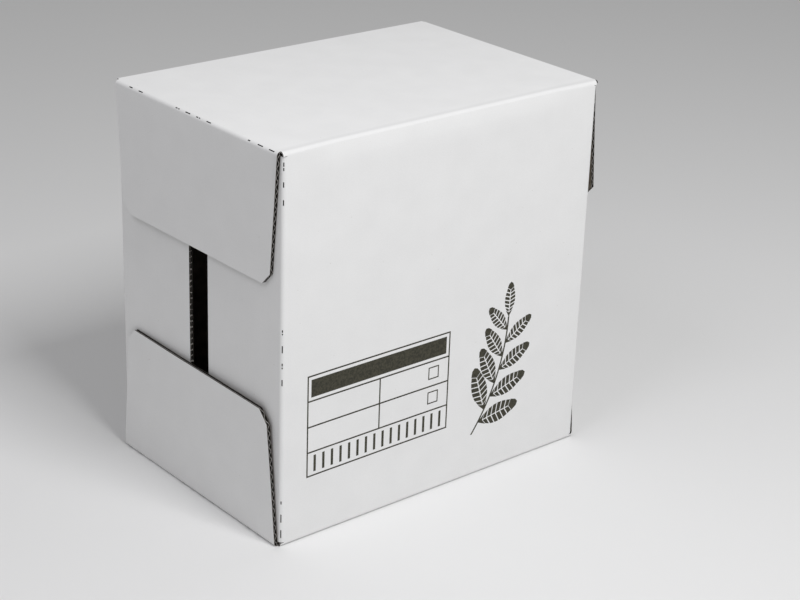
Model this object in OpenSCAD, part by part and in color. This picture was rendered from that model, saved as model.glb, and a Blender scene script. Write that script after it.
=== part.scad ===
// Wrap-around case for six bottles, folded from one blank of corrugated board.
// Front, bottom and back follow one another round the case, the top folds over from the front,
// and a lap on the back panel is glued under the top. At each end the front and back panels'
// inner flaps fold in first, and the top and bottom panels' outer flaps are glued over them.
// The flutes run round the case: from front to back in the top, the bottom and their flaps, and
// upright in the front, the back and theirs.

/* [Case] */
// Length over the folds of the outer flaps
case_l = 305; // [240:1:420]
// Depth from the front panel to the back panel
case_w = 208; // [150:1:300]
// Height from the bottom panel to the top panel
case_h = 305; // [260:1:420]

/* [Board] */
// Thickness of the corrugated board
board_t = 2.9; // [2.4:0.1:4]
// Inner radius of a fold
fold_inner_r = 0.2; // [0.1:0.1:3]
// Distance from one flute to the next
flute_pitch = 6.8; // [5:0.1:9]
// Thickness of the liner on each face of the board
liner_t = 0.4; // [0.3:0.05:0.6]
// Thickness of the fluted paper between the liners
medium_t = 0.4; // [0.3:0.05:0.6]
// How far the flutes are opened up from an edge cut across them
flute_depth = 14; // [10:1:30]
// How far the board is opened up from an edge cut along its flutes
edge_groove_depth = 1.6; // [1:0.1:1.8]

/* [Outer flaps] */
// Length of the top panel's outer flaps from the fold to the free edge
top_flap_len = 101; // [70:1:125]
// Length of the bottom panel's outer flaps from the fold to the free edge
bottom_flap_len = 107; // [70:1:125]
// Set-back of an outer flap's sides at its fold
outer_flap_inset = 2; // [1:0.5:6]
// How far each side draws in from the fold to the free edge
outer_flap_taper = 9; // [4:0.5:20]
// Cut corner of an outer flap, along its free edge
corner_cut_w = 9; // [4:0.5:15]
// Cut corner of an outer flap, along its side
corner_cut_h = 9.5; // [4:0.5:15]
// How far the free edge of the left end's top flap springs out
left_top_spring = 2.5; // [0:0.5:10]
// How far the free edge of the left end's bottom flap springs out
left_bottom_spring = 3; // [0:0.5:10]
// How far the free edge of the right end's top flap springs out
right_top_spring = 11; // [0:0.5:14]
// How far the free edge of the right end's bottom flap springs out
right_bottom_spring = 3; // [0:0.5:10]

/* [Inner flaps] */
// Gap that the two inner flaps leave at the middle of each end
slot_w = 24; // [16:1:60]
// Relief between an inner flap and the folds above and below it
inner_flap_relief = 0.4; // [0.2:0.1:8]

/* [Perforated folds] */
// Length of a slit in the fold of an end flap
slit_len = 5.5; // [4:0.5:8]
// Width of a slit
slit_w = 0.8; // [0.5:0.1:1.5]
// Depth of a slit, through the outer liner and into the flutes
slit_depth = 1.8; // [1:0.1:2.2]
// Distance from one slit of a group to the next
slit_pitch = 13; // [10:0.5:18]
// Distance from the end of a fold to the middle of its first slit
slit_margin = 7; // [5:0.5:12]
// Slits in the group at each end of a fold
slit_end_count = 3; // [1:1:4]
// Slits in the group at the middle of a fold
slit_mid_count = 4; // [1:1:5]

/* [Lap joint] */
// Width of the lap under the top panel
lap_w = 32; // [22:1:60]
// Set-back of the top panel's cut edge from the back panel's face
lap_setback = 0.5; // [0:0.1:2]

/* [Glue] */
// Room for glue between two boards that are glued flat
glue_gap = 0.5; // [0.3:0.1:1]
// Width of a bead of hot-melt glue
bead_w = 5; // [3:0.5:8]
// Length of a bead on an inner flap
flap_bead_len = 50; // [30:1:60]
// Distance from an outer flap's fold to its first bead
flap_bead_start = 18; // [12:1:25]
// Distance from the first bead on an outer flap to the second
flap_bead_pitch = 22; // [12:1:30]
// Length of a bead on the lap
lap_bead_len = 70; // [40:1:75]
// Beads along the lap
lap_bead_count = 3; // [2:1:3]

/* [Hidden] */

// Steps in the arc of one fold
fold_steps = 6;
// Flat crest of a flute, to each side of its middle, as a share of the pitch
crest_share = 0.12;
// Plain board kept between the flutes and a fold, a free edge or a panel's end
flute_land = 2;
// Extra reach of a shape that cuts or joins another
overrun = 1;

fold_r = board_t + fold_inner_r;
half_l = case_l / 2;
half_w = case_w / 2;
// Outer face of the inner flaps, and the place where the wrapped panels give way to their end folds
inner_face_x = half_l - board_t - glue_gap;
panel_end_x = inner_face_x - fold_r;
// Upper face of the lap
lap_z = case_h - board_t - glue_gap;
// Half the width of an outer flap at its fold and near its free edge
flap_fold_y = half_w - outer_flap_inset;
flap_edge_y = flap_fold_y - outer_flap_taper;
// Foot of the inner flaps
inner_flap_z = fold_r + inner_flap_relief;
// The sprung flaps reach past the folds, so the case is set back to the middle of its own box
left_reach = half_l + max(left_top_spring, left_bottom_spring);
right_reach = half_l + max(right_top_spring, right_bottom_spring);
centre_x = (left_reach - right_reach) / 2;

board_white = [0.88, 0.88, 0.88];
glue_amber = [0.93, 0.87, 0.70];

// Height of an inner flap: at the back it stops short of the lap's fold, which is lower than the top
function inner_flap_h(side) = (side == "front" ? case_h : lap_z) - 2 * inner_flap_z;

// Points along an arc from angle a to angle b
function arc(x, y, r, a, b) = [
    for (i = [0 : fold_steps])
        let (angle = a + (b - a) * i / fold_steps)
        [x + r * cos(angle), y + r * sin(angle)]
];

// Outer face of an outer flap, at a distance along it from the top of its fold
function flap_face_x(along, length, spring) = half_l + spring * (along - fold_r) / (length - fold_r);

// A point in the section of an outer flap, at a distance along it and a depth below its outer face
function flap_point(along, depth, length, spring) = [
    flap_face_x(along, length, spring) - depth,
    case_h - along
];

// Flutes that fit in a stretch of board
function flutes_in(stretch) = floor(stretch / flute_pitch - 1 / 2);

// The two hollows of the flute that starts at a place along the board, each as the corners of its
// section: a distance along the board and a depth below its outer face
function flute_hollows(first) =
    let (
        crest = crest_share * flute_pitch,
        middle = first + flute_pitch / 2,
        next = first + flute_pitch,
        valley = board_t - liner_t - medium_t
    )
    [
        [
            [first + crest, liner_t],
            [next - crest, liner_t],
            [middle + crest, valley],
            [middle - crest, valley]
        ],
        [
            [middle + crest, board_t - liner_t],
            [middle + flute_pitch - crest, board_t - liner_t],
            [next + crest, board_t - valley],
            [next - crest, board_t - valley]
        ]
    ];

// Middles of the slits in a fold of the given length, measured from the fold's own middle
function slit_places(length) = [
    for (i = [0 : slit_end_count - 1], side = [-1, 1])
        side * (length / 2 - slit_margin - i * slit_pitch),
    for (i = [0 : slit_mid_count - 1])
        (i - (slit_mid_count - 1) / 2) * slit_pitch
];

// Stand a section drawn across the case on edge, and run it along the length of the case
module along_length(length) {
    rotate([90, 0, 90])
        linear_extrude(height = length, center = true)
            children();
}

// Stand a section drawn at one end on edge, and run it from the front to the back
module along_depth(length) {
    rotate([90, 0, 0])
        linear_extrude(height = length, center = true)
            children();
}

// Section of the sheet round the case, from the top panel's cut edge to the edge of the lap
module wrapped_panels() {
    front_y = -half_w + fold_r;
    back_y = half_w - fold_r;
    along_length(2 * panel_end_x)
        polygon(concat(
            [[half_w - lap_setback, case_h]],
            arc(front_y, case_h - fold_r, fold_r, 90, 180),
            arc(front_y, fold_r, fold_r, 180, 270),
            arc(back_y, fold_r, fold_r, 270, 360),
            arc(back_y, lap_z - fold_r, fold_r, 0, 90),
            [[half_w - lap_w, lap_z], [half_w - lap_w, lap_z - board_t]],
            arc(back_y, lap_z - fold_r, fold_inner_r, 90, 0),
            arc(back_y, fold_r, fold_inner_r, 360, 270),
            arc(front_y, fold_r, fold_inner_r, 270, 180),
            arc(front_y, case_h - fold_r, fold_inner_r, 180, 90),
            [[half_w - lap_setback, case_h - board_t]]
        ));
}

// Flutes where they open at the top panel's cut edge, along the back
module top_edge_flutes() {
    reach = flute_depth + overrun;
    count = flutes_in(2 * (panel_end_x - flute_land));
    first_x = -(count + 1 / 2) * flute_pitch / 2;
    translate([0, half_w - lap_setback + overrun - reach / 2, 0])
        along_depth(reach)
            for (i = [0 : count - 1], hollow = flute_hollows(first_x + i * flute_pitch))
                polygon([for (corner = hollow) [corner[0], case_h - corner[1]]]);
}

// Fold and inner flap at the right end of the back panel, with its free edge cut along a flute
module inner_flap(side) {
    edge_y = slot_w / 2;
    groove_y = edge_y + edge_groove_depth;
    far_face_x = inner_face_x - board_t;
    translate([0, 0, inner_flap_z])
        linear_extrude(height = inner_flap_h(side))
            polygon(concat(
                [[panel_end_x - overrun, half_w]],
                arc(panel_end_x, half_w - fold_r, fold_r, 90, 0),
                [[inner_face_x, edge_y], [inner_face_x - liner_t, edge_y]],
                [[inner_face_x - liner_t, groove_y], [far_face_x + liner_t, groove_y]],
                [[far_face_x + liner_t, edge_y], [far_face_x, edge_y]],
                arc(panel_end_x, half_w - fold_r, fold_inner_r, 0, 90),
                [[panel_end_x - overrun, half_w - board_t]]
            ));
}

// Outline of the top panel's outer flap, seen from the end
module outer_flap_outline(length) {
    edge_z = case_h - length;
    polygon([
        [-flap_fold_y, case_h + overrun],
        [-flap_fold_y, case_h - fold_r],
        [-flap_edge_y, edge_z + corner_cut_h],
        [corner_cut_w - flap_edge_y, edge_z],
        [flap_edge_y - corner_cut_w, edge_z],
        [flap_edge_y, edge_z + corner_cut_h],
        [flap_fold_y, case_h - fold_r],
        [flap_fold_y, case_h + overrun]
    ]);
}

// Fold and outer flap at the right end of the top panel
module outer_flap(length, spring) {
    past_edge = length + overrun;
    difference() {
        intersection() {
            along_depth(case_w)
                polygon(concat(
                    [[panel_end_x - overrun, case_h]],
                    arc(half_l - fold_r, case_h - fold_r, fold_r, 90, 0),
                    [for (depth = [0, board_t]) flap_point(past_edge, depth, length, spring)],
                    arc(half_l - fold_r, case_h - fold_r, fold_inner_r, 0, 90),
                    [[panel_end_x - overrun, case_h - board_t]]
                ));
            along_length(2 * (half_l + spring + overrun))
                outer_flap_outline(length);
        }
        flap_side_flutes(length, spring);
        flap_edge_groove(length, spring);
    }
}

// Flutes where they open at the two sides of an outer flap
module flap_side_flutes(length, spring) {
    reach = outer_flap_taper + flute_depth + overrun;
    first = fold_r + flute_land;
    count = flutes_in(length - first - flute_land);
    for (side = [-1, 1])
        translate([0, side * (flap_fold_y + overrun - reach / 2), 0])
            along_depth(reach)
                for (i = [0 : count - 1], hollow = flute_hollows(first + i * flute_pitch))
                    polygon([for (corner = hollow) flap_point(corner[0], corner[1], length, spring)]);
}

// Open flute along the free edge of an outer flap
module flap_edge_groove(length, spring) {
    near = length + overrun;
    far = length - edge_groove_depth;
    along_depth(case_w)
        polygon([
            flap_point(near, liner_t, length, spring),
            flap_point(near, board_t - liner_t, length, spring),
            flap_point(far, board_t - liner_t, length, spring),
            flap_point(far, liner_t, length, spring)
        ]);
}

// Slits through the fold of the top panel's outer flap, at the right end
module outer_fold_slits() {
    for (place = slit_places(2 * flap_fold_y))
        translate([half_l - fold_r, place, case_h - fold_r])
            rotate([0, -45, 0])
                translate([fold_r - slit_depth, -slit_len / 2, -slit_w / 2])
                    cube([slit_depth + overrun, slit_len, slit_w]);
}

// Slits through the fold of the back panel's inner flap, at the right end
module inner_fold_slits(side) {
    middle_z = inner_flap_z + inner_flap_h(side) / 2;
    for (place = slit_places(inner_flap_h(side)))
        translate([panel_end_x, half_w - fold_r, middle_z + place])
            rotate([0, 0, 45])
                translate([fold_r - slit_depth, -slit_w / 2, -slit_len / 2])
                    cube([slit_depth + overrun, slit_w, slit_len]);
}

// The right end's upper half, turned to the end and the half that are asked for
module at_end(end, half) {
    mirror([end == "left" ? 1 : 0, 0, 0])
        translate([0, 0, half == "bottom" ? case_h : 0])
            mirror([0, 0, half == "bottom" ? 1 : 0])
                children();
}

// The right end's back half, turned to the end and the side that are asked for
module at_side(end, side) {
    mirror([end == "left" ? 1 : 0, 0, 0])
        mirror([0, side == "front" ? 1 : 0, 0])
            children();
}

module case_board() {
    color(board_white)
        translate([centre_x, 0, 0])
            difference() {
                union() {
                    wrapped_panels();
                    for (end = ["left", "right"], side = ["back", "front"])
                        at_side(end, side)
                            inner_flap(side);
                    at_end("left", "top")
                        outer_flap(top_flap_len, left_top_spring);
                    at_end("left", "bottom")
                        outer_flap(bottom_flap_len, left_bottom_spring);
                    at_end("right", "top")
                        outer_flap(top_flap_len, right_top_spring);
                    at_end("right", "bottom")
                        outer_flap(bottom_flap_len, right_bottom_spring);
                }
                top_edge_flutes();
                for (end = ["left", "right"]) {
                    for (side = ["back", "front"])
                        at_side(end, side)
                            inner_fold_slits(side);
                    for (half = ["top", "bottom"])
                        at_end(end, half)
                            outer_fold_slits();
                }
            }
}

// Beads of glue between an outer flap and the inner flaps behind it
module flap_beads(length, spring) {
    middle_y = (half_w + slot_w / 2) / 2;
    for (side = [-1, 1], row = [0, 1]) {
        upper = flap_bead_start + row * flap_bead_pitch;
        lower = upper + bead_w;
        translate([0, side * middle_y, 0])
            along_depth(flap_bead_len)
                polygon([
                    [inner_face_x, case_h - upper],
                    flap_point(upper, board_t, length, spring),
                    flap_point(lower, board_t, length, spring),
                    [inner_face_x, case_h - lower]
                ]);
    }
}

module left_flap_glue() {
    color(glue_amber)
        translate([centre_x, 0, 0]) {
            at_end("left", "top")
                flap_beads(top_flap_len, left_top_spring);
            at_end("left", "bottom")
                flap_beads(bottom_flap_len, left_bottom_spring);
        }
}

module right_flap_glue() {
    color(glue_amber)
        translate([centre_x, 0, 0]) {
            at_end("right", "top")
                flap_beads(top_flap_len, right_top_spring);
            at_end("right", "bottom")
                flap_beads(bottom_flap_len, right_bottom_spring);
        }
}

// Beads of glue between the lap and the top panel
module lap_glue() {
    bead_y = half_w - lap_w / 2;
    spacing = 2 * panel_end_x / lap_bead_count;
    color(glue_amber)
        for (i = [0 : lap_bead_count - 1])
            translate([
                centre_x + (i - (lap_bead_count - 1) / 2) * spacing - lap_bead_len / 2,
                bead_y - bead_w / 2,
                lap_z
            ])
                cube([lap_bead_len, bead_w, glue_gap]);
}

case_board();
left_flap_glue();
right_flap_glue();
lap_glue();
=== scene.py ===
# Wrap-around bottle case of white-lined corrugated board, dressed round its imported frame
import math

import bpy
from mathutils import Matrix, Vector


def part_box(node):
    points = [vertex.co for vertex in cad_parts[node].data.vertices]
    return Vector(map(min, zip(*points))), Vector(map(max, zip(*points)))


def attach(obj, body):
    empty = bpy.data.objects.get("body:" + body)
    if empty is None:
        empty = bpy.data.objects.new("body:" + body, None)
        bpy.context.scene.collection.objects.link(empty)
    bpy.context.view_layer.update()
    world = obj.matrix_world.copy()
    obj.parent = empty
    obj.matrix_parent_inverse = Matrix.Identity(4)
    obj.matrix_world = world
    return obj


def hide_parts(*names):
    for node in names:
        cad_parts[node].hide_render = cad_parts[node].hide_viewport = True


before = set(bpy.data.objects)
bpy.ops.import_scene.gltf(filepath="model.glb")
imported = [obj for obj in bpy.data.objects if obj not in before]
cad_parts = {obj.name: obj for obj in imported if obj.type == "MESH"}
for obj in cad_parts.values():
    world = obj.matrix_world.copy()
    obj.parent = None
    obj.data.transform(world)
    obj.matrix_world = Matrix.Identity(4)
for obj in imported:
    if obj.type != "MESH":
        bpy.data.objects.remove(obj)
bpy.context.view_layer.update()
caseLow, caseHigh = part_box("case_board")
print("frame loaded, case box", [round(1000 * side) for side in caseHigh - caseLow], "mm")

board = {                        # all lengths in metres
    "thickness": 0.0029,
    "liner": 0.0004,             # paper on each face
    "medium": 0.00045,           # fluted paper between the liners
    "flutePitch": 0.0068,
    "fluteSteps": 10,            # facets round one flute
    "foldInner": 0.0002,         # inside radius of a fold
    "foldSteps": 8,              # facets round one fold
    "glueGap": 0.0005,           # room between two boards glued flat
    "grid": 0.010,               # size of the quads on the open panels
    "play": 0.000003,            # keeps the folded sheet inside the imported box
    "smooth": 32,                # facets that meet under this angle, in degrees, shade as one
}
endFlaps = {
    "topLength": 0.101,
    "bottomLength": 0.107,
    "inset": 0.0031,             # set-back of an outer flap's sides at the fold, clear of the girth folds
    "taper": 0.0079,             # how far each side draws in towards the free edge
    "cornerWide": 0.009,         # cut corner, along the free edge
    "cornerHigh": 0.0095,        # cut corner, along the side
    "slot": 0.024,               # gap between the two inner flaps
    "relief": 0.0004,            # room between an inner flap and the folds above and below
    "skew": 0.0028,              # the right end's top flap has sprung out of square, towards the front
    "notch": 0.002,              # and its front side is cut further back at the fold
    "blunt": 0.0012,             # paper worn off the right end's corners
    "spring": {                  # how far each free edge stands off at its furthest
        "leftTop": 0.0018,
        "leftBottom": 0.0022,
        "rightTop": 0.011,
        "rightBottom": 0.003,
    },
    "leftReach": 0.003,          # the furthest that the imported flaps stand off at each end
    "rightReach": 0.011,
    "twist": {                   # how much of the spring is at one side only, front side positive
        "leftTop": -0.0009,
        "leftBottom": 0.0011,
        "rightTop": 0.0,
        "rightBottom": -0.0008,
    },
}
lapJoint = {"width": 0.032, "setback": 0.0005}
slits = {
    "length": 0.0055,
    "width": 0.0008,
    "pitch": 0.013,              # from slit to slit in a group
    "margin": 0.007,             # from a fold's end to the middle of its first slit
    "endCount": 3,
    "middleCount": 4,
    "nick": 0.0008,              # bridge of paper that some slits keep
    "nicked": (0, 7, 9),         # these, counted along a fold's groups
    "bite": {                    # how long each cut is, as the knife doesn't bite alike everywhere
        "outer": (0.0, 0.8, 1.0, 1.1, 1.1, 0.5, 1.0, 0.9, 1.1, 0.9),
        "inner": (1.1, 0.7, 0.75, 1.2, 1.2, 0.45, 0.9, 0.8, 1.0, 0.7),
    },
}

# Layout of the flat blank, laid out in the plane of the top panel with its white side up
thick = board["thickness"]
radius = thick + board["foldInner"]
foldLength = radius * math.pi / 2
foldStep = foldLength / board["foldSteps"]
spring = endFlaps["spring"]
leftFace = caseLow.x + endFlaps["leftReach"]
rightFace = caseHigh.x - endFlaps["rightReach"]
middleX = (leftFace + rightFace) / 2
halfLength = (rightFace - leftFace) / 2
halfDepth = (caseHigh.y - caseLow.y) / 2
height = caseHigh.z
caseMiddle = Vector((middleX, 0, height / 2))
outerFold = halfLength - radius                                    # start of the outer flaps' folds
panelEnd = halfLength - thick - board["glueGap"] - radius          # start of the inner flaps' folds
lapTop = height - thick - board["glueGap"]
cornerReach = panelEnd + radius                                    # where the girth folds end
frontFold = caseLow.y + radius + board["play"]
bottomFold = frontFold - foldLength - (height - 2 * radius - board["play"])
frontShift = frontFold - foldLength - (height - radius)            # from a height on the front to the blank
backFold = bottomFold - foldLength - 2 * (halfDepth - radius - 4 * board["play"])
lapFold = backFold - foldLength - (lapTop - 2 * radius)
blankStart = caseHigh.y - lapJoint["setback"]
blankEnd = lapFold - foldLength - (lapJoint["width"] - radius)
girthFolds = {"front": frontFold, "bottom": bottomFold, "back": backFold, "lap": lapFold}

flapHalf = halfDepth - endFlaps["inset"]
relief = endFlaps["relief"]
bottomMiddle = (backFold + bottomFold - foldLength) / 2
innerReach = panelEnd + foldLength + halfDepth - radius - endFlaps["slot"] / 2
topReach = outerFold + foldLength + endFlaps["topLength"] - radius
bottomReach = outerFold + foldLength + endFlaps["bottomLength"] - radius
flapRows = {                     # each row of flaps: its limits along the blank, its fold and its free edge
    "top": {"low": -flapHalf, "high": flapHalf, "fold": outerFold, "reach": topReach},
    "front": {"low": bottomFold + relief, "high": frontFold - foldLength - relief,
              "fold": panelEnd, "reach": innerReach},
    "bottom": {"low": bottomMiddle - flapHalf, "high": bottomMiddle + flapHalf,
               "fold": outerFold, "reach": bottomReach},
    "back": {"low": lapFold + relief, "high": backFold - foldLength - relief,
             "fold": panelEnd, "reach": innerReach},
}
outerRows = ("top", "bottom")
innerRows = ("front", "back")
hair = 1e-5                      # points nearer than this count as one


def evenly(start, end, step):
    count = max(1, round(abs(end - start) / step))
    return [start + (end - start) * i / count for i in range(count + 1)]


def slitPlaces(row):
    middle = (row["low"] + row["high"]) / 2
    half = (row["high"] - row["low"]) / 2 - slits["margin"]
    ends = [half - i * slits["pitch"] for i in range(slits["endCount"])]
    inner = [(i - (slits["middleCount"] - 1) / 2) * slits["pitch"] for i in range(slits["middleCount"])]
    return [middle + place for place in ends + [-place for place in ends] + inner]


def slitCuts(name):
    cuts = []
    bites = slits["bite"]["outer" if name in outerRows else "inner"]
    for i, place in enumerate(slitPlaces(flapRows[name])):
        half = slits["length"] * bites[i] / 2
        if i in slits["nicked"]:
            cuts.append((place - half, place - slits["nick"]))
            cuts.append((place, place + half))
        else:
            cuts.append((place - half, place + half))
    return [(low, high) for low, high in cuts if high > low]


def rowAt(y):
    for name, row in flapRows.items():
        if row["low"] < y < row["high"]:
            return name
    return None


def nearRow(y):
    return rowAt(y) or rowAt(y + hair) or rowAt(y - hair)              # a row's own limits belong to it


def onBlank(x, y):
    out = abs(x - middleX)
    name = rowAt(y)
    if name is not None:
        return out < flapRows[name]["reach"]
    for fold, start in girthFolds.items():
        share = (start - y) / foldLength
        if 0 < share < 1:                                              # blunted towards the upright panel
            turn = share if fold in innerRows else 1 - share
            return out < cornerReach - (endFlaps["blunt"] * turn ** 2 if x > middleX else 0)
    return out < (cornerReach if y > flapRows["top"]["high"] else panelEnd)


def inFoldOf(name, x, y):
    row = flapRows[name]
    out = abs(x - middleX)
    return row["low"] < y < row["high"] and row["fold"] < out < row["fold"] + foldLength


def inSlit(x, y):
    name = rowAt(y)
    if name is None or not inFoldOf(name, x, y):
        return False
    row = flapRows[name]
    across = abs(abs(x - middleX) - row["fold"] - foldLength / 2)
    return across < slits["width"] / 2 and any(low < y < high for low, high in slitCuts(name))


# Small helpers round the operators
def pickNothing():
    if bpy.context.mode != "OBJECT":
        bpy.ops.object.mode_set(mode="OBJECT")
    bpy.ops.object.select_all(action="DESELECT")


def only(piece):
    pickNothing()
    piece.select_set(True)
    bpy.context.view_layer.objects.active = piece


def startPick(piece, selectMode):
    only(piece)
    bpy.context.tool_settings.mesh_select_mode = selectMode
    bpy.ops.object.mode_set(mode="EDIT")
    bpy.ops.mesh.select_all(action="DESELECT")
    bpy.ops.object.mode_set(mode="OBJECT")


def pickFaces(piece, test):
    startPick(piece, (False, False, True))
    for face in piece.data.polygons:
        face.select = test(face.center)
    bpy.ops.object.mode_set(mode="EDIT")


def pickVerts(piece, test):
    startPick(piece, (True, False, False))
    for vert in piece.data.vertices:
        vert.select = test(vert.co)
    bpy.ops.object.mode_set(mode="EDIT")


def raiseSheet(sheet, rise):
    pickVerts(sheet, lambda at: True)
    bpy.ops.transform.translate(value=(0, 0, rise))
    bpy.ops.object.mode_set(mode="OBJECT")


def cutAll(piece, xLines, yLines):
    only(piece)
    bpy.ops.object.mode_set(mode="EDIT")
    for normal, lines in (((1, 0, 0), xLines), ((0, 1, 0), yLines)):
        for line in lines:
            bpy.ops.mesh.select_all(action="SELECT")
            bpy.ops.mesh.bisect(plane_co=[line * part for part in normal], plane_no=normal, threshold=hair)
    bpy.ops.object.mode_set(mode="OBJECT")


def applyModifier(piece, kind, **settings):
    only(piece)
    modifier = piece.modifiers.new(kind.title(), kind)
    for key, value in settings.items():
        setattr(modifier, key, value)
    bpy.ops.object.modifier_apply(modifier=modifier.name)


def paint(piece, *materials):
    piece.data.materials.clear()
    for material in materials:
        piece.data.materials.append(material)


def joinAll(pieces, name):
    pickNothing()
    for piece in pieces:
        piece.select_set(True)
    bpy.context.view_layer.objects.active = pieces[0]
    bpy.ops.object.join()
    joined = bpy.context.object
    joined.name = name
    return joined


# The blank: cut lines, outline, tapered flaps
def trimSide(sheet, onFlap, place, outward):
    pickFaces(sheet, onFlap)
    bpy.ops.mesh.bisect(plane_co=place, plane_no=outward, threshold=hair)
    pickFaces(sheet, lambda at: onFlap(at) and (at - place).dot(outward) > 0)
    bpy.ops.mesh.delete(type="FACE")                                   # the fold beside it stays whole


def trimOutline(sheet):
    pickFaces(sheet, lambda at: not onBlank(at.x, at.y))
    bpy.ops.mesh.delete(type="FACE")
    foldEnd = outerFold + foldLength
    edgeHalf = flapHalf - endFlaps["taper"]
    for name in outerRows:
        row = flapRows[name]
        middle = (row["low"] + row["high"]) / 2
        shoulder = row["reach"] - endFlaps["cornerHigh"]
        for end in (-1, 1):
            skew = endFlaps["skew"] if (name, end) == ("top", 1) else 0
            for side in (-1, 1):
                def onFlap(at):
                    inRow = row["low"] < at.y < row["high"] and (at.y - middle) * side > 0
                    return inRow and (at.x - middleX) * end > foldEnd

                edge = edgeHalf - side * skew
                notch = endFlaps["notch"] if skew and side < 0 else 0
                for start, stop in (
                    ((foldEnd, flapHalf - notch), (shoulder, edge)),
                    ((shoulder, edge), (row["reach"], edge - endFlaps["cornerWide"])),
                ):
                    place = Vector((middleX + end * start[0], middle + side * start[1], height))
                    outward = Vector((end * (start[1] - stop[1]), side * (stop[0] - start[0]), 0))
                    trimSide(sheet, onFlap, place, outward)
    bpy.ops.object.mode_set(mode="OBJECT")


def cutSlits(sheet):
    for name in flapRows:
        for line in sorted({place for cut in slitCuts(name) for place in cut}):
            pickFaces(sheet, lambda at: inFoldOf(name, at.x, at.y))
            bpy.ops.mesh.bisect(plane_co=(0, line, 0), plane_no=(0, 1, 0), threshold=hair)
    pickFaces(sheet, lambda at: inSlit(at.x, at.y))
    bpy.ops.mesh.delete(type="FACE")
    bpy.ops.object.mode_set(mode="OBJECT")


def panelLines():
    xLines = [middleX + line for line in evenly(-panelEnd, panelEnd, board["grid"])[1:-1]]
    yLines = set()
    edges = [blankStart]
    for start in girthFolds.values():
        edges += [start, start - foldLength]
    for start, end in zip(edges[::2], edges[1::2] + [blankEnd]):
        yLines.update(evenly(start, end, board["grid"])[1:-1])
    rollStart = frontFold - foldLength
    yLines.update(evenly(rollStart, rollStart - panelWarp["rollReach"], panelWarp["rollStep"])[1:])
    return xLines, yLines


def makeLiner():
    print("cutting the blank")
    pickNothing()
    bpy.ops.mesh.primitive_plane_add(size=1, location=(middleX, (blankStart + blankEnd) / 2, height))
    sheet = bpy.context.object
    sheet.name = "outer_liner"
    sheet.scale = (2 * bottomReach, blankStart - blankEnd, 1)
    bpy.ops.object.transform_apply(location=True, rotation=True, scale=True)
    outLines = {topReach, innerReach, cornerReach}
    for start in (panelEnd, outerFold):
        outLines.update(evenly(start, start + foldLength, foldStep))
        outLines.update(start + foldLength / 2 + side * slits["width"] / 2 for side in (-1, 1))
    outLines.update(evenly(outerFold + foldLength, innerReach, board["grid"])[1:])
    xLines, yLines = panelLines()
    xLines += [middleX + side * line for side in (-1, 1) for line in outLines]
    for start in girthFolds.values():
        yLines.update(evenly(start, start - foldLength, foldStep))
    for row in flapRows.values():
        yLines.update((row["low"], row["high"]))
    cutAll(sheet, xLines, yLines)
    trimOutline(sheet)
    cutSlits(sheet)
    return sheet


# Fluted paper, kept only where a cut edge lets the eye in
fluting = {
    "openBand": 0.022,           # kept this far in from each cut edge
    "cornerBand": 0.006,
    "foldBand": 0.004,           # kept this far in along a fold, clear of the slits
    "tickPitch": 0.0047,         # torn webs left by the teeth of the slotting knife
    "tickTall": 0.0011,
    "tickRough": 0.0007,
    "tickInset": 0.0003,
}


def nearOpenEdge(x, y):
    out = abs(x - middleX)
    name = rowAt(y)
    if name is not None and out > panelEnd:
        row = flapRows[name]
        inward = min(y - row["low"], row["high"] - y)
        if out < row["fold"] + foldLength:
            return inward < fluting["foldBand"]
        return out > row["reach"] - fluting["openBand"] / 2 or inward < fluting["openBand"]
    corner = fluting["cornerBand"]
    inFold = any(start + corner > y > start - foldLength - corner for start in girthFolds.values())
    atEnds = y > blankStart - fluting["openBand"] or y < blankEnd + fluting["openBand"]
    return atEnds or (inFold and out > panelEnd - corner)


def tornTicks():
    # thin webs from liner to liner along the edges that are cut along a flute
    rows = []
    inside = thick - 2 * board["liner"]
    for name in innerRows:
        row = flapRows[name]
        count = int((row["high"] - row["low"]) / fluting["tickPitch"])
        first = (row["low"] + row["high"] - (count - 1) * fluting["tickPitch"]) / 2
        for end in (-1, 1):
            pickNothing()
            place = middleX + end * (innerReach - fluting["tickInset"])
            bpy.ops.mesh.primitive_plane_add(size=1, location=(place, first, height - thick / 2),
                                             rotation=(0, math.pi / 2, 0))
            web = bpy.context.object
            web.scale = (inside, fluting["tickTall"], 1)
            bpy.ops.object.transform_apply(location=True, rotation=True, scale=True)
            paint(web, tornPaper)
            applyModifier(web, "ARRAY", count=count, use_relative_offset=False, use_constant_offset=True,
                          constant_offset_displace=(0, fluting["tickPitch"], 0))
            bpy.ops.object.mode_set(mode="EDIT")
            bpy.ops.mesh.select_all(action="SELECT")
            bpy.ops.transform.vertex_random(offset=fluting["tickRough"], seed=len(rows))
            bpy.ops.object.mode_set(mode="OBJECT")
            rows.append(web)
    return rows


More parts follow.
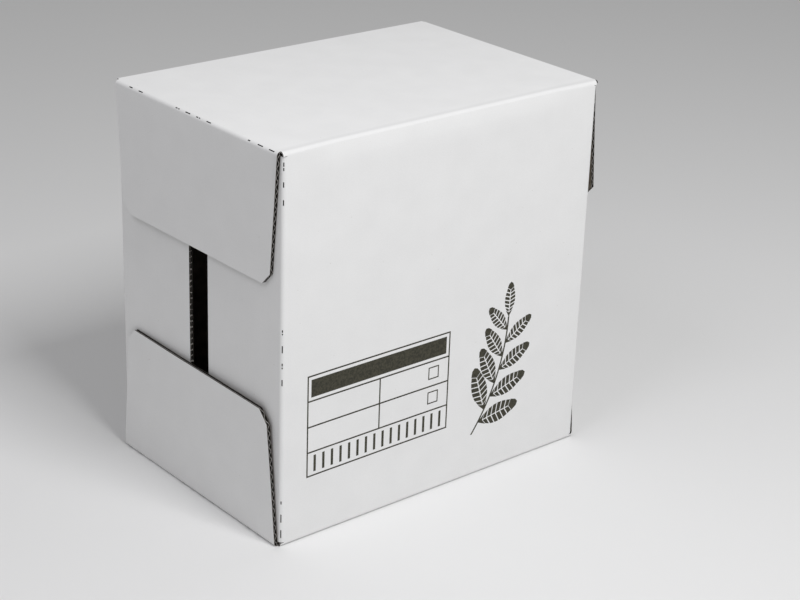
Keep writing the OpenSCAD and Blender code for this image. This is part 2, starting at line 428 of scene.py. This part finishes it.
def makeFluting():
    print("fluting the paper between the liners")
    flutes = math.ceil(2 * bottomReach / board["flutePitch"])
    steps = board["fluteSteps"]
    column = board["flutePitch"] / steps
    wave = (thick - 2 * board["liner"] - board["medium"]) / 2          # crests touch both liners
    pickNothing()
    bpy.ops.mesh.primitive_grid_add(
        x_subdivisions=flutes * steps, y_subdivisions=1, size=1,
        location=(middleX, (blankStart + blankEnd) / 2, height - thick / 2))
    sheet = bpy.context.object
    sheet.scale = (flutes * board["flutePitch"], blankStart - blankEnd, 1)
    bpy.ops.object.transform_apply(location=True, rotation=True, scale=True)
    left = middleX - flutes * board["flutePitch"] / 2
    for step in range(steps):                                          # each phase of the wave in turn
        pickVerts(sheet, lambda at: round((at.x - left) / column) % steps == step)
        lift = wave * math.cos(2 * math.pi * step / steps)
        bpy.ops.transform.translate(value=(0, 0, lift))
    yLines = {blankStart - fluting["openBand"], blankEnd + fluting["openBand"]}
    for start in girthFolds.values():
        yLines.update(evenly(start, start - foldLength, foldStep))
        yLines.update((start + fluting["cornerBand"], start - foldLength - fluting["cornerBand"]))
    for row in flapRows.values():
        for band in (0, fluting["foldBand"], fluting["openBand"]):
            yLines.update((row["low"] + band, row["high"] - band))
    xLines = [middleX + side * out for side in (-1, 1)
              for out in (panelEnd, cornerReach, innerReach, topReach, panelEnd - fluting["cornerBand"])]
    cutAll(sheet, xLines, sorted(yLines))
    trimOutline(sheet)
    pickFaces(sheet, lambda at: not nearOpenEdge(at.x, at.y))
    bpy.ops.mesh.delete(type="FACE")
    bpy.ops.object.mode_set(mode="OBJECT")
    # the fluting's walls take a darkened paper colour, painted shade for the hollow cells; its cut rims
    # stay grey
    paint(sheet, flutingAndShade, cutPaper)
    return joinAll([sheet] + tornTicks(), "fluting")


# Folding, as a case is folded: round the girth first, then the inner flaps, then the outer ones
def markFolds(sheet):
    groups = {name: [] for name in girthFolds}
    for row in flapRows:
        groups.update({row + "Left": [], row + "Right": []})
    for vert in sheet.data.vertices:
        for name, start in girthFolds.items():
            if vert.co.y < start:
                groups[name].append(vert.index)
        row = nearRow(vert.co.y)
        if row and abs(vert.co.x - middleX) > panelEnd:
            groups[row + ("Left" if vert.co.x < middleX else "Right")].append(vert.index)
    for name, members in groups.items():
        sheet.vertex_groups.new(name=name).add(members, 1.0, "REPLACE")


def deformAt(sheet, group, place, axes, method, angle, length):
    # a simple deform that acts from the hinge over the given length along its first or last axis
    pickNothing()
    bpy.ops.object.empty_add(type="ARROWS")
    hinge = bpy.context.object
    hinge.matrix_world = Matrix.Translation(place) @ Matrix(axes).transposed().to_4x4()
    bpy.context.view_layer.update()
    along = Vector(axes[0] if method == "BEND" else axes[2])
    run = [(vert.co - Vector(place)).dot(along) for vert in sheet.data.vertices]
    low, high = min(run), max(run)
    applyModifier(sheet, "SIMPLE_DEFORM", deform_method=method, deform_axis="Z", origin=hinge,
                  vertex_group=group, angle=angle,
                  limits=(-low / (high - low), (length - low) / (high - low)))
    bpy.data.objects.remove(hinge)


def bendAt(sheet, group, place, along, inward, angle):
    across = Vector(along).cross(Vector(inward))
    deformAt(sheet, group, place, (along, inward, tuple(across)), "BEND", angle, radius * angle)


def foldBlank(sheet):
    print("folding", sheet.name)
    quarter = math.pi / 2
    for name in ("lap", "back", "bottom", "front"):
        bendAt(sheet, name, (middleX, girthFolds[name], height), (0, -1, 0), (0, 0, -1), quarter)
    for end, side in (("Left", -1), ("Right", 1)):
        foldX = middleX + side * panelEnd
        bendAt(sheet, "front" + end, (foldX, caseLow.y, 0), (side, 0, 0), (0, 1, 0), quarter)
        bendAt(sheet, "back" + end, (foldX, caseHigh.y, 0), (side, 0, 0), (0, -1, 0), quarter)
        foldX = middleX + side * outerFold
        for name, length, z, inward in (("top", "topLength", height, -1), ("bottom", "bottomLength", 0, 1)):
            key = end.lower() + name.title()
            fall = endFlaps[length] - radius
            twist = endFlaps["twist"][key]
            lean = math.atan((spring[key] - abs(twist)) / fall)
            bendAt(sheet, name + end, (foldX, 0, z), (side, 0, 0), (0, 0, inward), quarter - lean)
            turn = side * inward * math.atan(twist / (flapHalf - endFlaps["taper"]))
            deformAt(sheet, name + end, (middleX + side * halfLength, 0, z + inward * radius),
                     ((side, 0, 0), (0, side * inward, 0), (0, 0, inward)), "TWIST", turn, fall)


# Panels that aren't quite flat: each bows a little towards the inside, most in its middle
panelWarp = {
    "swell": 0.13,               # width of one bow on a panel or an inner flap
    "depth": {"top": 0.0003, "front": 0.0008, "bottom": 0.0004, "back": 0.0009, "inner": 0.0009},
    "flapSwell": 0.05,           # the same on the outer flaps
    "flapDepth": 0.0006,
    "floor": 0.15,               # share of the depth that is there between the bows too
    "fade": 0.045,               # the bows die out over this width beside a fold
    "rollDepth": 0.0016,         # the front rolls back to its top fold
    "rollReach": 0.018,
    "rollStep": 0.0045,          # spacing of the rows of quads that draw the roll
}
warpPanels = {                   # limits along the blank, and the way inwards once folded
    "top": {"low": frontFold, "high": blankStart - lapJoint["width"], "axis": "Z", "way": -1},
    "front": {"low": bottomFold, "high": frontFold - foldLength, "axis": "Y", "way": 1},
    "bottom": {"low": backFold, "high": bottomFold - foldLength, "axis": "Z", "way": 1},
    "back": {"low": lapFold, "high": backFold - foldLength, "axis": "Y", "way": -1},
}
warpNoise = bpy.data.textures.new("panelWarp", "CLOUDS")
warpNoise.noise_scale = panelWarp["swell"]
warpNoise.noise_depth = 0
flapNoise = bpy.data.textures.new("flapWarp", "CLOUDS")
flapNoise.noise_scale = panelWarp["flapSwell"]
flapNoise.noise_depth = 0


def softStep(distance):
    share = min(1, max(0, distance / panelWarp["fade"]))
    return share * share * (3 - 2 * share)


def markPanels(sheet):
    groups = {name: sheet.vertex_groups.new(name="warp" + name) for name in warpPanels}
    ends = {kind + side: sheet.vertex_groups.new(name="warp" + kind + side)
            for kind in ("Inner", "Outer") for side in ("Left", "Right")}
    roll = sheet.vertex_groups.new(name="warpRoll")
    for vert in sheet.data.vertices:
        out = abs(vert.co.x - middleX)
        past = max(vert.co.y - frontFold, frontFold - foldLength - vert.co.y, 0)
        if past < panelWarp["rollReach"] and out < cornerReach:
            share = (1 - past / panelWarp["rollReach"]) ** 2
            roll.add([vert.index], share * softStep(panelEnd - out), "REPLACE")
        for name, panel in warpPanels.items():
            inside = min(vert.co.y - panel["low"], panel["high"] - vert.co.y, panelEnd - out)
            if inside > 0:
                groups[name].add([vert.index], softStep(inside), "REPLACE")
        row = nearRow(vert.co.y)
        past = out - flapRows[row]["fold"] - foldLength if row else 0
        if past > 0:
            kind = "Inner" if row in innerRows else "Outer"
            side = "Left" if vert.co.x < middleX else "Right"
            ends[kind + side].add([vert.index], softStep(past), "REPLACE")


def warpSheet(sheet):
    moves = [("warp" + name, panel["axis"], panel["way"] * panelWarp["depth"][name], warpNoise)
             for name, panel in warpPanels.items()]
    for side, way in (("Left", 1), ("Right", -1)):
        moves.append(("warpInner" + side, "X", way * panelWarp["depth"]["inner"], warpNoise))
        moves.append(("warpOuter" + side, "X", way * panelWarp["flapDepth"], flapNoise))
    applyModifier(sheet, "DISPLACE", direction="Y", mid_level=0, strength=panelWarp["rollDepth"],
                  vertex_group="warpRoll")
    for group, axis, strength, noise in moves:
        applyModifier(sheet, "DISPLACE", texture=noise, texture_coords="GLOBAL", direction=axis,
                      mid_level=-panelWarp["floor"], strength=strength, vertex_group=group)


def mapFlat(sheet):
    # one map of the sheet laid flat, in place of the maps that came with the primitives
    while sheet.data.uv_layers:
        sheet.data.uv_layers.remove(sheet.data.uv_layers[0])
    flat = sheet.data.uv_layers.new(name="flat")
    points = sheet.data.vertices
    for loop in sheet.data.loops:
        at = points[loop.vertex_index].co
        flat.data[loop.index].uv = (at.x - middleX, at.y)


def standUp(film):
    # all that lies on the front panel only turns down with it
    only(film)
    film.rotation_euler.x = math.pi / 2
    film.location = (0, caseLow.y + height, -frontShift)
    bpy.ops.object.transform_apply(location=True, rotation=True, scale=True)


def finishSheet(sheet, paper, offsets, shape=foldBlank):
    # the offsets say which of the sheet's materials its under face and its rim get
    applyModifier(sheet, "SOLIDIFY", thickness=paper["thickness"], offset=paper["offset"],
                  use_even_offset=True, material_offset=offsets[0], material_offset_rim=offsets[1])
    mapFlat(sheet)
    markFolds(sheet)
    markPanels(sheet)
    shape(sheet)
    warpSheet(sheet)
    only(sheet)
    bpy.ops.object.shade_smooth_by_angle(angle=math.radians(board["smooth"]))
    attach(sheet, "root")
    print(sheet.name, len(sheet.data.polygons), "faces")


# Materials
def hexColour(value):
    # sRGB to linear
    parts = [int(value[i:i + 2], 16) / 255 for i in (1, 3, 5)]
    return [p / 12.92 if p <= 0.04045 else ((p + 0.055) / 1.055) ** 2.4 for p in parts] + [1.0]


def addNode(tree, kind, inputs=None, **settings):
    node = tree.nodes.new(kind)
    for key, value in settings.items():
        setattr(node, key, value)
    for socket, value in (inputs or {}).items():
        if isinstance(value, bpy.types.NodeSocket):
            tree.links.new(value, node.inputs[socket])
        else:
            node.inputs[socket].default_value = value
    return node


def startMaterial(name, roughness, specular):
    material = bpy.data.materials.new(name)
    material.use_nodes = True
    tree = material.node_tree
    shader = tree.nodes["Principled BSDF"]
    shader.inputs["Roughness"].default_value = roughness
    shader.inputs["Specular IOR Level"].default_value = specular
    return material, tree, shader


def perMetre(millimetres):
    return 1000 / millimetres


waveBand = 2 * math.pi / 20      # distance between a wave texture's bands at scale 1
fluteScale = waveBand / board["flutePitch"]
whiteTop = {
    "white": "#e9e9e9",
    "shade": "#e4e4e4",
    "speck": "#a7a296",
    "creaseShade": "#d6d6d6",
    "rough": (0.68, 0.82),
    "roughFrom": (0.3, 0.7),     # noise values for the two, as for the tone and the specks below
    "specular": 0.08,
    "cloud": 26.0,               # pattern sizes in millimetres
    "fibre": 1.1,
    "specks": 2.2,
    "toneFrom": (0.7, 1.4),      # all shade to all white
    "speckFrom": (0.78, 0.82),   # only the highest peaks are specks
    "speckShare": 0.45,
    "fluteShadeShare": 0.03,          # painted shade of the flutes' ribs: how far they show in the tone
    "flute": 0.000004,           # relief in metres
    "tooth": 0.000012,
    "creaseBack": 0.0005,        # painted shade line along the front's score, behind the start of its fold
    "creaseShadeHalf": 0.0065,
    "creaseShadeShare": 0.45,
}


def whiteToppedLiner():
    # bleached top ply over kraft, calendered: bright, faintly clouded and specked, painted shade at its
    # score
    material, tree, shader = startMaterial(
        "White-topped kraft liner", whiteTop["rough"][0], whiteTop["specular"])
    flat = addNode(tree, "ShaderNodeUVMap", uv_map="flat").outputs["UV"]
    cloud = addNode(tree, "ShaderNodeTexNoise", {
        "Vector": flat, "Scale": perMetre(whiteTop["cloud"]), "Detail": 4.0})
    fibre = addNode(tree, "ShaderNodeTexNoise", {
        "Vector": flat, "Scale": perMetre(whiteTop["fibre"]), "Detail": 3.0})
    speck = addNode(tree, "ShaderNodeTexNoise", {
        "Vector": flat, "Scale": perMetre(whiteTop["specks"]), "Detail": 1.0})
    band = addNode(tree, "ShaderNodeTexWave", {"Vector": flat, "Scale": fluteScale})
    mixed = addNode(tree, "ShaderNodeMath", {
        0: cloud.outputs["Fac"], 1: fibre.outputs["Fac"]}, operation="ADD")
    # painted shade: the flute band darkens the tone in faint stripes, beside the bump of the ribs
    mixed = addNode(tree, "ShaderNodeMath", {
        0: band.outputs["Fac"], 1: whiteTop["fluteShadeShare"], 2: mixed.outputs[0]}, operation="MULTIPLY_ADD")
    tone = addNode(tree, "ShaderNodeMapRange", {
        "Value": mixed.outputs[0],
        "From Min": whiteTop["toneFrom"][0], "From Max": whiteTop["toneFrom"][1]})
    paper = addNode(tree, "ShaderNodeMix", {
        "Factor": tone.outputs[0], "A": hexColour(whiteTop["shade"]),
        "B": hexColour(whiteTop["white"])}, data_type="RGBA")
    fleck = addNode(tree, "ShaderNodeMapRange", {
        "Value": speck.outputs["Fac"], "From Min": whiteTop["speckFrom"][0],
        "From Max": whiteTop["speckFrom"][1], "To Max": whiteTop["speckShare"]})
    colour = addNode(tree, "ShaderNodeMix", {
        "Factor": fleck.outputs[0], "A": paper.outputs["Result"],
        "B": hexColour(whiteTop["speck"])}, data_type="RGBA")
    # painted shade: the paper darkens in a band along the front's score line, for the shade of its groove
    place = addNode(tree, "ShaderNodeSeparateXYZ", {"Vector": flat})
    off = addNode(tree, "ShaderNodeMath", {
        0: place.outputs["Y"], 1: frontFold + whiteTop["creaseBack"]}, operation="SUBTRACT")
    off = addNode(tree, "ShaderNodeMath", {0: off.outputs[0]}, operation="ABSOLUTE")
    creaseShade = addNode(tree, "ShaderNodeMapRange", {
        "Value": off.outputs[0], "From Max": whiteTop["creaseShadeHalf"], "To Min": whiteTop["creaseShadeShare"],
        "To Max": 0.0}, interpolation_type="SMOOTHSTEP")
    colour = addNode(tree, "ShaderNodeMix", {
        "Factor": creaseShade.outputs[0], "A": colour.outputs["Result"],
        "B": hexColour(whiteTop["creaseShade"])}, data_type="RGBA")
    tree.links.new(colour.outputs["Result"], shader.inputs["Base Color"])
    dull = addNode(tree, "ShaderNodeMapRange", {
        "Value": cloud.outputs["Fac"],
        "From Min": whiteTop["roughFrom"][0], "From Max": whiteTop["roughFrom"][1],
        "To Min": whiteTop["rough"][0], "To Max": whiteTop["rough"][1]})
    tree.links.new(dull.outputs[0], shader.inputs["Roughness"])
    rib = addNode(tree, "ShaderNodeBump", {
        "Height": band.outputs["Fac"], "Distance": whiteTop["flute"]})
    tooth = addNode(tree, "ShaderNodeBump", {
        "Height": fibre.outputs["Fac"], "Distance": whiteTop["tooth"], "Normal": rib.outputs[0]})
    tree.links.new(tooth.outputs[0], shader.inputs["Normal"])
    return material


kraft = {
    "light": "#8a8073",
    "dark": "#6e655a",
    "fibre": 1.4,                # pattern sizes in millimetres
    "cloud": 9.0,
    "stretch": 0.25,             # fibres are four times as long as wide
    "toneFrom": (0.7, 1.3),      # noise values, all dark to all light
    "roughness": 0.85,
    "specular": 0.25,
    "flute": 0.0001,             # relief in metres
}


def kraftLiner():
    # unbleached kraft paper: dull brown, matt, with long fibres and the flutes showing through
    material, tree, shader = startMaterial("Brown kraft liner", kraft["roughness"], kraft["specular"])
    flat = addNode(tree, "ShaderNodeUVMap", uv_map="flat").outputs["UV"]
    long = addNode(tree, "ShaderNodeMapping", {"Vector": flat, "Scale": (1, kraft["stretch"], 1)})
    fibre = addNode(tree, "ShaderNodeTexNoise", {
        "Vector": long.outputs[0], "Scale": perMetre(kraft["fibre"]), "Detail": 5.0})
    cloud = addNode(tree, "ShaderNodeTexNoise", {
        "Vector": flat, "Scale": perMetre(kraft["cloud"]), "Detail": 3.0})
    mixed = addNode(tree, "ShaderNodeMath", {
        0: cloud.outputs["Fac"], 1: fibre.outputs["Fac"]}, operation="ADD")
    tone = addNode(tree, "ShaderNodeMapRange", {
        "Value": mixed.outputs[0], "From Min": kraft["toneFrom"][0], "From Max": kraft["toneFrom"][1]})
    colour = addNode(tree, "ShaderNodeMix", {
        "Factor": tone.outputs[0], "A": hexColour(kraft["dark"]),
        "B": hexColour(kraft["light"])}, data_type="RGBA")
    tree.links.new(colour.outputs["Result"], shader.inputs["Base Color"])
    band = addNode(tree, "ShaderNodeTexWave", {"Vector": flat, "Scale": fluteScale})
    rib = addNode(tree, "ShaderNodeBump", {"Height": band.outputs["Fac"], "Distance": kraft["flute"]})
    tree.links.new(rib.outputs[0], shader.inputs["Normal"])
    return material


speckles = {
    "specular": 0.2,
    "toneFrom": (0.35, 0.65),    # noise values, all dark to all light
    "relief": 0.00006,           # metres
}


def speckled(name, dark, light, grain, roughness):
    # a surface too narrow to show more than an uneven tone and a little tooth
    material, tree, shader = startMaterial(name, roughness, speckles["specular"])
    place = addNode(tree, "ShaderNodeTexCoord").outputs["Object"]
    fibre = addNode(tree, "ShaderNodeTexNoise", {
        "Vector": place, "Scale": perMetre(grain), "Detail": 3.0})
    tone = addNode(tree, "ShaderNodeMapRange", {
        "Value": fibre.outputs["Fac"],
        "From Min": speckles["toneFrom"][0], "From Max": speckles["toneFrom"][1]})
    colour = addNode(tree, "ShaderNodeMix", {
        "Factor": tone.outputs[0], "A": hexColour(dark), "B": hexColour(light)}, data_type="RGBA")
    tree.links.new(colour.outputs["Result"], shader.inputs["Base Color"])
    tooth = addNode(tree, "ShaderNodeBump", {
        "Height": fibre.outputs["Fac"], "Distance": speckles["relief"]})
    tree.links.new(tooth.outputs[0], shader.inputs["Normal"])
    return material


whitePaper = whiteToppedLiner()
kraftPaper = kraftLiner()
edgePapers = (                   # dark and light tone, grain in millimetres, roughness
    ("Cut edge of paper", "#6f6d6b", "#999693", 0.8, 0.9),             # grey fibres, matt
    ("Torn paper", "#8f8c87", "#d8d5cf", 3.0, 0.9),                    # pale fibres, pulled out
    ("Semi-chemical fluting, darkened as shade", "#3a3733", "#57534d", 1.2, 0.9),         # brown-grey fluting, darkened further as painted shade for its hollow cells
    ("Painted shade inside the flutes", "#1b1917", "#292623", 1.2, 0.95),      # painted shade: nearly black, as the flutes' hollows lie in shade
)
cutPaper, tornPaper, flutingAndShade, paintedFluteShade = [speckled(*edge) for edge in edgePapers]

outerLiner = makeLiner()
innerLiner = outerLiner.copy()
innerLiner.data = outerLiner.data.copy()
innerLiner.name = "inner_liner"
bpy.context.collection.objects.link(innerLiner)
raiseSheet(innerLiner, board["liner"] - thick)
# the liners' faces towards the flutes get the painted shade, nearly black
paint(outerLiner, whitePaper, paintedFluteShade, flutingAndShade)
paint(innerLiner, paintedFluteShade, kraftPaper, flutingAndShade)
mediumSheet = makeFluting()
linerPaper = {"thickness": board["liner"], "offset": -1}
finishSheet(outerLiner, linerPaper, (1, 2))
finishSheet(innerLiner, linerPaper, (1, 2))
finishSheet(mediumSheet, {"thickness": board["medium"], "offset": 0}, (0, 1))
for sheet in (outerLiner, innerLiner, mediumSheet):
    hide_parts("case_board")

# Generic print on the front panel: an empty packing table and a leaf sprig, in one dark ink
panelPrint = {
    "film": 0.00006,             # ink film, half of it sunk in the paper
    "dark": "#33322a",
    "light": "#48463a",
    "grain": 1.6,                # millimetres
    "roughness": 0.6,
}
packTable = {                    # from the case's middle and its foot
    "left": -0.126, "right": 0.010, "foot": 0.050, "head": 0.132,
    "line": 0.0012, "band": 0.014, "rows": 3, "stripes": 16, "stripe": 0.0022,
    "gapLines": 3, "tickLine": 0.8,                                    # in widths of the line
}
sprig = {
    "foot": (0.036, 0.036), "radius": 0.160, "start": -38, "sweep": 36,   # stem, an arc in degrees
    "stem": 0.0009, "stemSteps": 28, "splay": 47, "vein": 0.00045,
    "leaves": 9, "leaf": 0.044, "narrow": 0.018, "shrink": 0.35,          # share that the last leaf loses
}
leafShape = {                    # for a leaf of length 1
    "cells": 9,                  # fields between the side veins
    "lean": 0.8,                 # under 1, the widest place is nearer the stem
    "full": 0.85,                # under 1, the outline is fuller than a sine
    "tip": 0.02,                 # share of the width left at the tips
    "bare": 0.15,                # each tip has no veins over this length
    "forward": 0.07,             # side veins point forwards
    "near": 0.01,                # limits for picking a column, the midrib and the two ends
    "rib": 0.002,
    "end": 0.05,
}


def printedBar(x0, z0, x1, z1):
    pickNothing()
    place = (middleX + (x0 + x1) / 2, frontShift + (z0 + z1) / 2, height)
    bpy.ops.mesh.primitive_plane_add(size=1, location=place)
    bar = bpy.context.object
    bar.scale = (x1 - x0, z1 - z0, 1)
    bpy.ops.object.transform_apply(location=True, rotation=True, scale=True)
    return bar


def printedFrame(x0, z0, x1, z1, line):
    ring = printedBar(x0, z0, x1, z1)
    bpy.ops.object.mode_set(mode="EDIT")
    bpy.ops.mesh.select_all(action="SELECT")
    bpy.ops.mesh.inset(thickness=line)
    bpy.ops.mesh.delete(type="FACE")                                   # leaves the rim of the inset
    bpy.ops.object.mode_set(mode="OBJECT")
    return ring


def printTable():
    t = packTable
    line = t["line"]
    marks = [printedFrame(t["left"], t["foot"], t["right"], t["head"], line)]
    gap = t["gapLines"] * line
    head = t["head"] - gap
    marks.append(printedBar(t["left"] + gap, head - t["band"], t["right"] - gap, head))
    low, high = t["foot"], head - t["band"] - gap + line
    rows = evenly(low, high, (high - low) / t["rows"])
    for z in rows[1:]:
        marks.append(printedBar(t["left"], z - line, t["right"], z))
    middle = (t["left"] + t["right"]) / 2
    marks.append(printedBar(middle - line / 2, rows[1], middle + line / 2, rows[-1] - line))
    box = (rows[1] - rows[0]) / 2                                      # tick boxes in the right column
    for row in rows[1:-1]:
        z = row + box / 2
        marks.append(printedFrame(t["right"] - 2 * box, z, t["right"] - box, z + box, line * t["tickLine"]))
    step = (t["right"] - t["left"] - 2 * gap) / t["stripes"]
    for i in range(t["stripes"]):                                      # even stripes along the foot
        x = t["left"] + gap + (i + 0.5) * step
        marks.append(printedBar(x - t["stripe"] / 2, rows[0] + gap, x + t["stripe"] / 2, rows[1] - gap))
    return marks


def printedLeaf(foot, turn, length, width):
    # a lens of cells with the midrib and the side veins left bare
    shape = leafShape
    pickNothing()
    bpy.ops.mesh.primitive_grid_add(
        x_subdivisions=shape["cells"], y_subdivisions=2, size=1, location=(0.5, 0, 0))
    leaf = bpy.context.object
    bpy.ops.object.transform_apply(location=True, rotation=False, scale=False)
    for share in evenly(0, 1, 1 / shape["cells"]):
        pickVerts(leaf, lambda at: abs(at.x - share) < shape["near"])
        swell = max(shape["tip"], math.sin(math.pi * share ** shape["lean"]) ** shape["full"])
        bpy.ops.transform.resize(value=(1, swell * width / length, 1), center_override=(share, 0, 0))
    pickVerts(leaf, lambda at: abs(at.y) > shape["rib"] and shape["end"] < at.x < 1 - shape["end"])
    bpy.ops.transform.translate(value=(shape["forward"], 0, 0))
    pickFaces(leaf, lambda at: at.x < shape["bare"] or at.x > 1 - shape["bare"])
    bpy.ops.mesh.split()
    bpy.ops.mesh.hide(unselected=False)                                # both tips stay whole
    bpy.ops.mesh.select_all(action="SELECT")
    bpy.ops.mesh.inset(thickness=sprig["vein"] / length, use_individual=True)
    bpy.ops.mesh.select_all(action="INVERT")
    bpy.ops.mesh.delete(type="FACE")
    bpy.ops.mesh.reveal(select=False)
    bpy.ops.object.mode_set(mode="OBJECT")
    leaf.matrix_world = (Matrix.Translation((middleX + foot.x, frontShift + foot.y, height))
                         @ Matrix.Rotation(turn, 4, "Z") @ Matrix.Scale(length, 4))
    only(leaf)
    bpy.ops.object.transform_apply(location=True, rotation=True, scale=True)
    return leaf


def printSprig():
    s = sprig
    start, sweep = math.radians(s["start"]), math.radians(s["sweep"])
    foot = Vector(s["foot"])
    centre = foot - s["radius"] * Vector((math.cos(start), math.sin(start)))
    stem = printedBar(foot.x - s["stem"], foot.y, foot.x + s["stem"], foot.y + s["stem"])
    pickVerts(stem, lambda at: at.y < frontShift + foot.y + s["stem"] / 2)
    bpy.ops.mesh.select_all(action="INVERT")
    bpy.ops.mesh.delete(type="VERT")                                   # the edge that draws the stem
    bpy.ops.mesh.select_all(action="SELECT")
    bpy.ops.mesh.spin(steps=s["stemSteps"], angle=-sweep, axis=(0, 0, 1),
                      center=(middleX + centre.x, frontShift + centre.y, height))
    bpy.ops.object.mode_set(mode="OBJECT")
    marks = [stem]
    for i in range(s["leaves"]):
        share = (i + 1) / s["leaves"]
        angle = start + sweep * share
        at = centre + s["radius"] * Vector((math.cos(angle), math.sin(angle)))
        side = 0 if i == s["leaves"] - 1 else (1 if i % 2 else -1)
        turn = angle + math.pi / 2 + side * math.radians(s["splay"])
        size = 1 - s["shrink"] * share
        marks.append(printedLeaf(at, turn, s["leaf"] * size, s["narrow"] * size))
    return marks


def printingInk():
    # flexo ink on a calendered liner: matt, dark olive-grey, a little starved in places
    return speckled("Flexographic ink", panelPrint["dark"], panelPrint["light"],
                    panelPrint["grain"], panelPrint["roughness"])


printFilm = joinAll(printTable() + printSprig(), "panel_print")
cutAll(printFilm, *panelLines())
raiseSheet(printFilm, panelPrint["film"] / 2)
paint(printFilm, printingInk())
finishSheet(printFilm, {"thickness": panelPrint["film"], "offset": -1}, (0, 0), standUp)

# Glue beads, squeezed flat with rounded rims
glueBead = {
    "rim": 0.0002,
    "rimSteps": 3,
    "dark": "#d8c08a",
    "light": "#e6d3a4",
    "grain": 3.0,                # millimetres
    "roughness": 0.4,
    "merge": 1e-6,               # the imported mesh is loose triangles
    "flat": 1,                   # degrees, under which they become one face
    "smooth": 40,                # degrees
}
# hot-melt adhesive, set from a molten bead: pale amber, waxy, a little glossier than the paper
glue = speckled("Hot-melt glue", glueBead["dark"], glueBead["light"],
                glueBead["grain"], glueBead["roughness"])
for name in ("left_flap_glue", "right_flap_glue", "lap_glue"):
    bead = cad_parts[name].copy()
    bead.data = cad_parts[name].data.copy()
    bead.name = name + "_beads"
    bpy.context.collection.objects.link(bead)
    only(bead)
    bpy.ops.object.mode_set(mode="EDIT")
    bpy.ops.mesh.select_all(action="SELECT")
    bpy.ops.mesh.remove_doubles(threshold=glueBead["merge"])
    bpy.ops.mesh.dissolve_limited(angle_limit=math.radians(glueBead["flat"]))
    bpy.ops.object.mode_set(mode="OBJECT")
    applyModifier(bead, "BEVEL", width=glueBead["rim"], segments=glueBead["rimSteps"], limit_method="ANGLE")
    bpy.ops.object.shade_smooth_by_angle(angle=math.radians(glueBead["smooth"]))
    paint(bead, glue)
    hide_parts(name)
    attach(bead, "root")
print("glue beads rounded")

# Floor, light and camera
floorLook = {"size": 14.0, "colour": "#e7e7e7", "roughness": 0.8, "specular": 0.2}
pickNothing()
bpy.ops.mesh.primitive_plane_add(size=floorLook["size"], location=(0, 0, 0))
floor = bpy.context.object
floor.name = "studio_floor"
# painted board: one even pale grey with no shine
floorPaint, _, floorShader = startMaterial(
    "Matt studio floor", floorLook["roughness"], floorLook["specular"])
floorShader.inputs["Base Color"].default_value = hexColour(floorLook["colour"])
paint(floor, floorPaint)

studio = {
    "sky": 0.33,
    "key": 23.5,                 # watts
    "keyPlace": (-0.05, -1.2, 1.68),
    "keySize": 0.7,
    "fill": 3.2,
    "fillPlace": (-1.0, -0.25, 1.45),
    "fillSize": 0.5,
    "fillTint": (0.95, 0.94, 1.0),
}
world = bpy.context.scene.world or bpy.data.worlds.new("studio")
bpy.context.scene.world = world
world.use_nodes = True
world.node_tree.nodes["Background"].inputs["Color"].default_value = (1, 1, 1, 1)
world.node_tree.nodes["Background"].inputs["Strength"].default_value = studio["sky"]


def softBox(name, power, place, size, tint=(1, 1, 1)):
    pickNothing()
    bpy.ops.object.light_add(type="AREA", location=place)
    lamp = bpy.context.object
    lamp.name = name
    lamp.data.energy = power
    lamp.data.size = size
    lamp.data.color = tint
    aim = caseMiddle - lamp.location
    lamp.rotation_euler = aim.to_track_quat("-Z", "Y").to_euler()


softBox("key_softbox", studio["key"], studio["keyPlace"], studio["keySize"])
softBox("fill_softbox", studio["fill"], studio["fillPlace"], studio["fillSize"], studio["fillTint"])

lens = {
    "focal": 86.32,              # millimetres, as the sensor
    "sensor": 36,
    "azimuth": -40.579,          # degrees
    "elevation": 23.189,
    "roll": 1.975,
    "distance": 1.50758,
    "aimRight": 0.03576,         # from the middle of the case
    "aimUp": -0.02513,
}


def placeCamera():
    bpy.ops.object.camera_add()
    camera = bpy.context.object
    camera.data.lens = lens["focal"]
    camera.data.sensor_width = lens["sensor"]
    azimuth, elevation = math.radians(lens["azimuth"]), math.radians(lens["elevation"])
    back = Vector((math.sin(azimuth) * math.cos(elevation), -math.cos(azimuth) * math.cos(elevation),
                   math.sin(elevation)))
    right = Vector((math.cos(azimuth), math.sin(azimuth), 0))
    up = back.cross(right)
    eye = caseMiddle + right * lens["aimRight"] + up * lens["aimUp"] + back * lens["distance"]
    turn = Matrix((right, up, back)).transposed() @ Matrix.Rotation(math.radians(lens["roll"]), 3, "Z")
    camera.matrix_world = Matrix.Translation(eye) @ turn.to_4x4()
    bpy.context.scene.camera = camera


placeCamera()
bpy.context.scene.view_settings.view_transform = "Standard"
